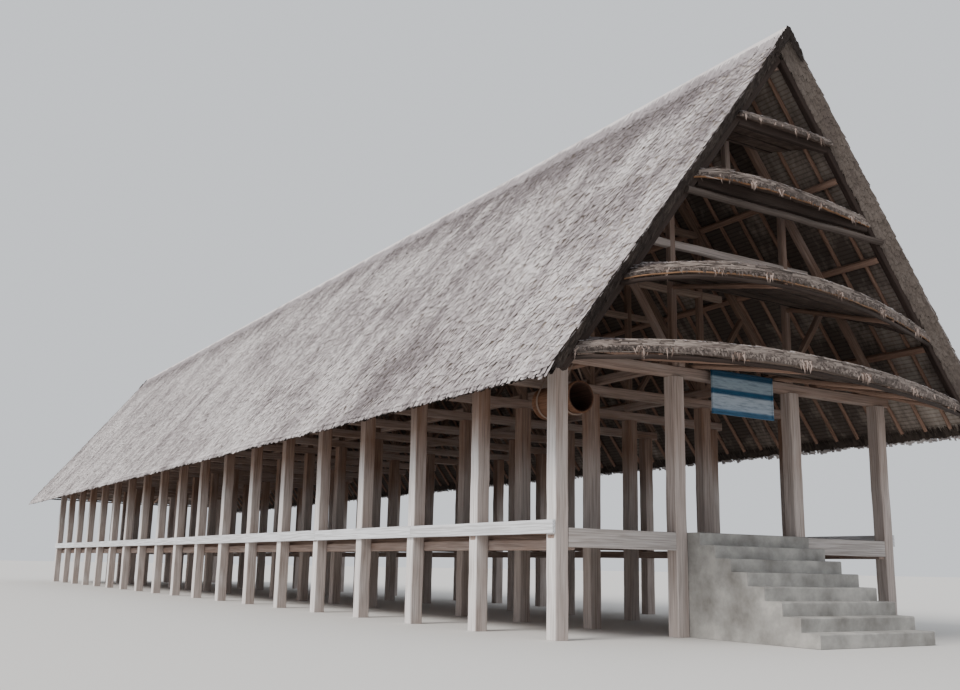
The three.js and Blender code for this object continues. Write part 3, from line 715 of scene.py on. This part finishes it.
def commonRafters(sideName, side):
    poles, out = Members(), slopeAxes(side)[1]
    for y in np.arange(-17.85, 17.86, thatch["rafterSpacing"]):
        poles.add(slopePoint(side, np.linspace(0.10, slopeLength - 0.22, 9), y, thatch["rafterDepth"]),
                  thatch["rafter"], 0.02, 0.004, out)
    poles.make(f"{sideName}CommonRafters", "rafter", f"{sideName}_thatch")


for sideName, side in sides:
    topLeaves(sideName, side)
    sewnMat(sideName, side)
    eaveFringe(sideName, side)
    vergeEdge(sideName, side)
    commonRafters(sideName, side)


# Ridge cap: leaves bent over the ridge with ragged ends on each slope, thick ends over each apex, dark with
# painted shade
ridgeCap = {"rows": ((0.05, 0.006), (0.0, -0.004), (0.0, -0.010)), "spacing": 0.045, "lean": 0.065,
            "ends": (0.24, 0.46), "saddleWidth": 0.22, "saddleRise": 0.014, "saddleUnder": 0.028,
            "leaf": {"width": (0.08, 0.13), "thickness": (0.004, 0.008), "shade": (0.2, 0.8),
                     "ragged": 0.04},
            "apexLeaves": 90,
            "apexLeaf": {"width": (0.03, 0.06), "length": (0.10, 0.20), "thickness": 0.004,
                         "shade": (-1.0, -0.2), "ragged": 0.02, "pointed": True}}


def ridgeLeaves(sideName, side):
    down, out = slopeAxes(side)
    reach, node, leaves = house["thatchEnd"], f"{sideName}_ridge_cap", Leaves()
    for start, depth in ridgeCap["rows"]:
        y = np.clip(evenPlaces(reach, ridgeCap["spacing"], 0.014, 0.05), 0.05 - reach, reach - 0.05)
        # they lean in, so that their ends lie on the courses below
        direction = down - out * ridgeCap["lean"] + stray(len(y), 0.09)
        length = tuple(end - start for end in ridgeCap["ends"])
        leaves.add(slopePoint(side, start, y, depth), direction, out, length=length, **ridgeCap["leaf"])
    # the saddle that closes the ridge, pale where it comes out over the leaves: painted highlight of the
    # ridge in the sun
    d, a = np.meshgrid(np.linspace(0.0, ridgeCap["saddleWidth"], 4), np.linspace(-1, 1, 200), indexing="ij")
    lumps = rng.normal(0, 0.002, d.shape)
    top = slopePoint(side, d, a * (reach - 0.03), 0.11 * d - ridgeCap["saddleRise"] + lumps)
    top[0, :, 0], top[0, :, 2] = 0.0, house["ridgeZ"] + ridgeCap["saddleRise"] * plumb
    under = slopePoint(side, d, a * (reach - 0.03), ridgeCap["saddleUnder"])
    leafSheet(f"{sideName}RidgeSaddle", top, under, "leaf", node, (1.0, 2.2), side < 0)
    leaves.make(f"{sideName}RidgeLeaves", "ridgeLeaf", node)
    apex, count = Leaves(), ridgeCap["apexLeaves"]
    for end in (-1, 1):
        start = rng.uniform(0.0, 0.42, count)
        y = end * (reach - rng.uniform(0.004, 0.02, count))
        root = slopePoint(side, start, y, rng.uniform(-0.02, 0.10, count))
        direction = down * rng.uniform(0.5, 1.0, (count, 1)) - upwards * rng.uniform(0.0, 0.5, (count, 1))
        apex.add(root, direction, np.array([0, end * 1.0, 0]), **ridgeCap["apexLeaf"])
    apex.make(f"{sideName}ApexLeaves", "darkLeaf", node)


for sideName, side in sides:
    ridgeLeaves(sideName, side)
print("roof thatch made")


# Awnings. u runs across from -1 to 1, and t from the bowed front edge (0) to the gable frame (1).
# The edge is a parabola in u, pushed sideways so that it reaches farthest at the crest. "front" and
# "back" are heights, "batten" the radius and bleach of the pole that is bent along the edge.
awnings = [dict(zip(("front", "back", "ends", "bow", "crest", "batten"), values)) for values in (
    ((3.375, 3.568), (3.7983, 3.910), 1.08, 1.09, -0.28, (0.009, 0.4)),
    ((4.410, 4.590), (4.930, 5.060), 1.12, 1.11, -0.40, (0.011, 0.3)),
    ((6.060, 6.231), (6.440, 6.560), 1.10, 0.25, -0.36, (0.014, 0.0)),
    ((7.162, 7.257), (7.412, 7.497), 1.18, 0.05, 0.0, (0.009, 0.4)))]
awningBack = house["frontFace"] - 0.005
awningReach = 19.432
# rows of short leaf ends under the strands: height on the edge, spacing
shortEnds = ((0.46, 0.022), (0.36, 0.020), (0.26, 0.024))
awningLeaves = {
    "top": {"thickness": 0.007, "shade": (0.1, 0.8), "ragged": 0.006},
    "strand": {"width": (0.03, 0.05), "thickness": (0.004, 0.010), "shade": (0.0, 1.0), "ragged": 0.01,
               "pointed": True, "power": 0.7},
    "short": {"width": (0.04, 0.08), "thickness": 0.004, "shade": (0.0, 0.7), "ragged": 0.012,
              "pointed": True},
    "tuft": {"width": (0.018, 0.045), "thickness": 0.005, "shade": (0.0, 1.0), "ragged": 0.012,
             "pointed": True},
}
vergeFrame = {"front": 1.083, "width": 0.1, "footZ": 3.2, "bearer": (0.028, 10), "near": 0.060,
              "straight": ((5.990, 6.160), (7.090, 7.218)), "crossZ": 5.858, "crossFront": 1.125,
              "cross": (0.049, 10), "pole": (0.036, 8), "poleEnds": (-17.03, -17.152),
              "tiePoles": (-0.78, -0.5, -0.23, 0.23, 0.5, 0.78)}


def awningHalf(z):
    return (layer["thatchUnder"] - z) / slope - 0.005


def awningPoint(awning, u, t, height, inset=0.0):
    # height is 0 on the underside and 1 on the top
    z0, z1 = (front + (back - front) * t for front, back in zip(awning["front"], awning["back"]))
    z = z0 + (z1 - z0) * height
    edge = house["frontFace"] - awning["ends"] - awning["bow"] * (1 - u * u) + inset
    y = edge + (awningBack - edge) * t
    across = u + awning["crest"] * (1 - u * u)
    return np.stack(np.broadcast_arrays(across * awningHalf(z), y, z), -1)


def stationAt(awning, across):
    # the u whose place across is given: the lower root of crest * u^2 - u + across - crest = 0
    crest = awning["crest"]
    return (1 - math.sqrt(1 - 4 * crest * (across - crest))) / (2 * crest) if crest else across


def evenStations(awning, spacing, spread=0.3, margin=0.03):
    # values of u that lie evenly along the front edge, each moved a little
    u = np.linspace(-1, 1, 400)
    along = lengthAlong(awningPoint(awning, u, 0.0, 0.5))
    last, count = along[-1] - margin, int(along[-1] / spacing)
    places = np.linspace(margin, last, count) + rng.normal(0, spread * spacing, count)
    return np.interp(np.clip(places, margin, last), along, u)


def awningMat(name, node, turn, awning):
    t, u = np.meshgrid([0.03, *np.linspace(0.06, 1, 9)], np.linspace(-1, 1, 41), indexing="ij")
    sag = rng.normal(0, 0.02, t.shape)
    upper = awningPoint(awning, u, t, 0.80 + sag * 0.5 - np.where(t < 0.05, 0.2, 0))
    lower = awningPoint(awning, u, t, np.where(t < 0.05, 0.45, 0.12) + sag)
    # the awning mat takes the dark underside finish: painted shade
    leafSheet(f"{name}Mat", turned(upper, turn)[::-1], turned(lower, turn)[::-1], "awningUnder", node,
              (0.2, 0.7))


def awningTop(name, node, turn, awning):
    # courses on the top, laid from the gable frame out to the edge
    leaves = Leaves(turn, awningReach)
    rows = max(3, int((awning["ends"] + awning["bow"] / 2) / 0.13))
    for row in range(rows):
        u = evenStations(awning, 0.06)
        root = awningPoint(awning, u, min(0.99, (row + 1.8) / rows), 0.80)
        leafVector = awningPoint(awning, u, max(0.0, (row - 0.1) / rows), 0.92, 0.012) - root
        width = rng.uniform(0.07, 0.12, len(u))
        length = np.linalg.norm(leafVector, axis=1) - rng.uniform(0.0, 0.03, len(u))
        leaves.add(root, leafVector, np.array([0, -0.35, 0.94]), width, length, **awningLeaves["top"])
    leaves.make(f"{name}Leaves", "leaf", node)


def awningEdge(name, node, turn, awning, k):
    # the edge: long strands bound along it above, rows of short leaf ends under them, and tufts that hang
    strands, tufts = Leaves(turn, awningReach), Leaves(turn, awningReach)
    thick = awning["front"][1] - awning["front"][0]
    for level in np.linspace(0.36, 0.94, max(5, int(thick / 0.014))):
        u = evenStations(awning, 0.16)
        u = u[u < 0.97]
        count = len(u)
        inset = 0.014 + 0.05 * (level - 0.6) ** 2 + rng.uniform(0, 0.012, count)
        root = awningPoint(awning, u, 0.0, level + rng.normal(0, 0.02, count), inset)
        nextU = np.minimum(u + 0.05, 1.0)
        ahead = awningPoint(awning, nextU, 0.0, level + rng.normal(0, 0.02, count), inset)
        length = np.minimum(rng.uniform(0.25, 0.40, count),
                            np.linalg.norm(awningPoint(awning, 0.999, 0.0, level) - root, axis=1))
        outward = np.array([0, -0.8, 0.6 if level > 0.8 else 0.1])
        strands.add(root, ahead - root, outward, length=length, **awningLeaves["strand"])
    outward = np.array([0, -1.0, 0.0])
    for level, spacing in shortEnds:
        u = evenStations(awning, spacing, 0.6)
        count = len(u)
        sway, lean = rng.normal(0, 0.3, count), rng.uniform(-0.12, 0.10, count)
        direction = np.stack([sway, lean, np.full(count, -1.0)], 1)
        root = awningPoint(awning, u, 0.0, level, rng.uniform(0.006, 0.020, count))
        strands.add(root, direction, outward, length=(thick * 0.10, thick * 0.30), **awningLeaves["short"])
        # here and there pale tips hang out in a bunch
        some = np.sin(u * 19 + k * 1.7) + np.sin(u * 43 + k) + rng.normal(0, 0.45, count) > 1.35
        tufts.add(root[some] - np.array([0, 0.004, 0]), direction[some], outward,
                  length=(thick * 0.10, thick * 0.10 + 0.12), **awningLeaves["tuft"])
    strands.make(f"{name}Strands", "strand", node)
    tufts.make(f"{name}Tufts", "tuft", node)


def awningBattens(name, node, turn, awning, k):
    # one bent along the front edge, peeled and orange on the middle awnings, others across the underside
    edge, under, u = Members(turn), Members(turn), np.linspace(-0.985, 0.985, 33)
    radius, bleach = awning["batten"]
    edge.add(awningPoint(awning, u, 0.0, 0.12, 0.028), (radius, 8), bleach, 0.003)
    # on awnings 1 and 4 the edge batten, and all the battens under the awnings, take the dark verge finish:
    # painted shade
    edge.make(f"{name}EdgeBatten", "batten" if k in (2, 3) else "verge", node, "thatch")
    for t in np.arange(0.35, 0.95, 0.28):
        under.add(awningPoint(awning, u, t, 0.08), (0.011, 6), 0.1, 0.002)
    under.make(f"{name}Battens", "verge", node, "thatch")


def vergeTimbers(endName, turn):
    # dark verge rafters, level bearers and bent ones, painted shade; the poles on the ties and struts are
    # paler
    squared, poles = Members(turn), Members(turn)
    v, front = vergeFrame, house["frontFace"]
    y = front - v["front"] + v["width"] / 2
    middle = (layer["purlinTop"] + layer["purlinUnder"]) / 2
    thick = (layer["purlinTop"] - layer["purlinUnder"]) / plumb
    foot = (middle - v["footZ"]) / slope
    for side in (-1, 1):
        squared.beam((side * foot, side * 0.03), y, (v["footZ"] + 0.01, middle - slope * 0.03), 12,
                     (v["width"], thick - 0.002, 0.012), -0.2, 0.0025)
    for low, high in v["straight"]:
        half, size = reachAt("purlinUnder", (low + high) / 2) + 0.03, (v["width"] - 0.004, high - low, 0.015)
        squared.beam((-half, half), y, (low + high) / 2, 10, size, 0.0, 0.0025)
    half = awningHalf(v["crossZ"])
    squared.beam((-half, half), front - v["crossFront"], v["crossZ"], 12, v["cross"], 0.2)
    for awning in awnings[:2]:
        path = awningPoint(awning, np.linspace(-0.985, 0.985, 41), 0.0, 0.0, v["near"])
        squared.add(path - upwards * 0.036, v["bearer"], 0.0, 0.003)
    strutPlace = house["innerRow"] / awningHalf(awnings[1]["back"][0])
    for awning, places, end in zip(awnings, (v["tiePoles"], (-strutPlace, strutPlace)), v["poleEnds"]):
        for across in places:
            path = awningPoint(awning, stationAt(awning, across), np.linspace(0.03, 1.0, 8), 0.0)
            path = path - upwards * v["pole"][0]
            poles.add(np.concatenate([path, [[path[-1, 0], end, path[-1, 2]]]]), v["pole"], 0.1, 0.003)
    squared.make(f"{endName}VergeRafters", "verge", f"{endName}_verge_frame")
    poles.make(f"{endName}AwningPoles", "rafter", f"{endName}_verge_frame")


for endName, turn in (("front", 1), ("back", -1)):
    vergeTimbers(endName, turn)
    for k, awning in enumerate(awnings, 1):
        these = (f"{endName}Awning{k}", f"{endName}_awning_{k}", turn, awning)
        awningMat(*these)
        awningTop(*these)
        awningEdge(*these, k)
        awningBattens(*these, k)
print("awnings made")


# Steps: the profile of a cement flight with worn round nosings, carried across the bay
steps = {"count": 8, "tread": 0.280, "landing": 0.230, "half": 1.0855, "back": -17.1755, "nosing": 0.018,
         "wear": 0.0015, "stations": 25}


def stepFlight():
    rise, nosing = house["floorTop"] / steps["count"], steps["nosing"]
    points = [(steps["back"], 0.0), (steps["back"], house["floorTop"])]
    for i in range(steps["count"]):
        y = house["frontFace"] - steps["landing"] - i * steps["tread"]
        z = house["floorTop"] - i * rise
        points += [(y + nosing * (1 - math.sin(a)), z - nosing * (1 - math.cos(a)))
                   for a in np.linspace(0, np.pi / 2, 4)]
        points.append((y, z - rise + 0.002))
    n, m = steps["stations"], len(points)
    grid = np.zeros((n, m, 3))
    grid[..., 0] = np.linspace(-steps["half"], steps["half"], n)[:, None]
    grid[..., 1:] = points
    wear = rng.normal(0, steps["wear"], (n, m))
    wear[:, :2] = 0
    grid[..., 1] += np.abs(wear)
    index, _, quads = tube(n, m)
    mesh = bpy.data.meshes.new("stepFlight")
    mesh.from_pydata(grid.reshape(-1, 3).tolist(), [],
                     quads[:, ::-1].tolist() + [index[0].tolist(), index[-1, ::-1].tolist()])
    placePiece("cementSteps", mesh, "cement", "front_steps")


# Board: planks painted blue, in a thin raised frame, on two battens
board = {"width": 1.240, "height": 0.640, "bottom": 3.090, "front": -17.2975, "thickness": 0.04,
         "rim": 0.028, "planks": 4, "plankDepth": 0.024, "battenX": 0.4, "battenY": -17.216,
         "batten": (0.06, 0.078, 0.004)}
finishes["painted"] = paintedBoard(board["bottom"] + board["height"], board["height"])


def paintedSign():
    planks, battens = Members(), Members()
    half, bottom, rim, thickness = board["width"] / 2, board["bottom"], board["rim"], board["thickness"]
    top, each = bottom + board["height"], board["height"] / board["planks"]
    depth, inset = board["plankDepth"], 0.012
    for k in range(board["planks"]):
        planks.beam((inset - half, half - inset), board["front"] + depth, bottom + (k + 0.5) * each, 6,
                    (depth, each - 0.001, 0.002), 0.0, 0.0004)
    y = board["front"] + thickness / 2
    for z in (bottom + rim / 2, top - rim / 2):
        planks.beam((-half, half), y, z, 6, (thickness, rim, 0.003), 0.0, 0.0003)
    for x in (rim / 2 - half, half - rim / 2):
        planks.beam(x, y, (bottom + rim, top - rim), 4, (rim, thickness, 0.003), 0.0, 0.0003)
    planks.make("bluePaintedBoard", "painted", "sign_board", "blue_board")
    for x in (-board["battenX"], board["battenX"]):
        battens.beam(x, board["battenY"], (bottom + 0.03, top - 0.03), 4, board["batten"], 0.2, 0.001)
    battens.make("boardBattens", "frame", "sign_board")


# Drum: a hollowed log, a little full in the middle, with a thick rim and hoops at both ends. "outside" is
# (distance from the end, depth under the radius), and "bleach" is for the brown outside and the dark inside,
# painted shade in the hollow.
drum = {"x": -2.194, "z": 3.305, "front": -16.2525, "length": 0.910, "radius": 0.238, "wall": 0.040,
        "outside": ((0.0, 0.012), (0.010, 0), (0.055, 0), (0.062, 0.014), (0.085, 0.016), (0.092, 0.006),
                    (0.118, 0.006), (0.125, 0.018), (0.30, 0.010), (0.455, 0.006)),
        "bleach": (0.8, -0.3), "poleZ": 3.7683, "poleSpan": (-17.190, -15.040), "pole": (0.039, 10),
        "rope": (0.006, 6), "ropePlace": 0.150, "ropeTurns": (-0.012, 0.0, 0.012)}


def hollowDrum():
    r, inner, length = drum["radius"], drum["radius"] - drum["wall"], drum["length"]
    outer = [(a, r - b) for a, b in drum["outside"]]
    outer += [(length - a, b) for a, b in outer[-2::-1]]
    profile = np.array(outer + [(length, inner + 0.006), (length - 0.02, inner), (length / 2, inner - 0.004),
                                (0.02, inner), (0.0, inner + 0.006)])
    angle = np.arange(48)[:, None] * 2 * np.pi / 48
    m, n = len(profile), len(angle)
    radius = profile[:, 1] * (1 + 0.006 * np.sin(3 * angle))
    along = np.broadcast_to(profile[:, 0], (n, m))
    grain = np.stack([along, radius * np.cos(angle), radius * np.sin(angle)], -1).reshape(-1, 3)
    index = np.arange(n * m).reshape(n, m)
    nextAngle = np.roll(index, -1, 0)
    quads = np.stack([index, np.roll(index, -1, 1), np.roll(nextAngle, -1, 1), nextAngle], -1)
    # the inner part of the profile gets the dark bleach: painted shade in the hollow
    bleach = np.where(np.arange(m) < len(outer), *drum["bleach"])
    vertices = grain[:, [1, 0, 2]] + np.array([drum["x"], drum["front"], drum["z"]])
    newPiece("hollowLogDrum", vertices, quads, [], "drum", "hanging_drum",
             {"grain": grain, "bleach": np.tile(bleach, n)}, smooth=True)
    hanger = Members()
    hanger.beam(drum["x"], drum["poleSpan"], drum["poleZ"], 10, drum["pole"], 0.1, 0.002)
    # each turn of rope: an arc under the drum, and one over the pole
    over, under, rise = drum["pole"][0] + 0.008, r + 0.009, drum["poleZ"] - drum["z"]
    lean = math.asin((under - over) / rise)
    a, b = np.linspace(np.pi - lean, 2 * np.pi + lean, 30), np.linspace(lean, np.pi - lean, 12)
    x = drum["x"] + np.concatenate([under * np.cos(a), over * np.cos(b)])
    z = drum["z"] + np.concatenate([under * np.sin(a), rise + over * np.sin(b)])
    for place in (drum["ropePlace"], length - drum["ropePlace"]):
        for shift in drum["ropeTurns"]:
            path = np.stack([x, np.full(len(x), drum["front"] + place + shift), z], 1)
            hanger.add(np.concatenate([path, path[:1]]), drum["rope"], 0.6, 0.0, (0, 1, 0))
    hanger.make("drumPoleAndRope", "rafter", "drum_hanger")


stepFlight()
paintedSign()
hollowDrum()
print("steps, board and drum made")


# Floor of the studio, light and camera
studio = {"floor": "#cfcdca", "half": 400, "sky": "#e9edf2", "skyStrength": 1.05, "sun": "#fffaf4",
          "sunStrength": 3.3, "sunAngle": 25, "sunTilt": 46, "sunTurn": -82}
view = {"place": (-11.085, -27.850, 0.883), "lens": 38.32, "yaw": 31.70, "up": 12.237, "roll": 1.0405}


def lightStudio():
    mesh, half, z = bpy.data.meshes.new("studioFloor"), studio["half"], -0.002
    corners = [(x * half, y * half, z) for x, y in ((-1, -1), (1, -1), (1, 1), (-1, 1))]
    mesh.from_pydata(corners, [], [(0, 1, 2, 3)])
    material, add = newMaterial("paleStudioFloor")
    shader = add("BsdfPrincipled", {"Base Color": linearColour(studio["floor"]), "Roughness": 0.9})
    add("OutputMaterial", {"Surface": shader})
    mesh.materials.append(material)
    ground = bpy.data.objects.new("studioFloor", mesh)
    world = bpy.data.worlds.new("softStudio")
    world.use_nodes = True
    background = world.node_tree.nodes["Background"]
    background.inputs["Color"].default_value = linearColour(studio["sky"])
    background.inputs["Strength"].default_value = studio["skyStrength"]
    bpy.context.scene.world = world
    sun = bpy.data.lights.new("softKey", "SUN")
    sun.energy, sun.angle = studio["sunStrength"], math.radians(studio["sunAngle"])
    sun.color = linearColour(studio["sun"])[:3]
    key = bpy.data.objects.new("softKey", sun)
    key.rotation_euler = (math.radians(studio["sunTilt"]), 0, math.radians(studio["sunTurn"]))
    for thing in (ground, key):
        bpy.context.scene.collection.objects.link(thing)


def photoCamera():
    # it looks along +Y, is turned towards +X by yaw, raised by up, and rolled about its own axis
    yaw, up, roll = (math.radians(view[k]) for k in ("yaw", "up", "roll"))
    lens = bpy.data.cameras.new("photoView")
    lens.lens, lens.sensor_width, lens.clip_end = view["lens"], 36, 500
    camera = bpy.data.objects.new("photoView", lens)
    camera.matrix_world = (Matrix.Translation(view["place"]) @ Matrix.Rotation(-yaw, 4, "Z")
                           @ Matrix.Rotation(math.pi / 2 + up, 4, "X") @ Matrix.Rotation(roll, 4, "Z"))
    bpy.context.scene.collection.objects.link(camera)
    bpy.context.scene.camera = camera


lightStudio()
photoCamera()

print("scene ready")
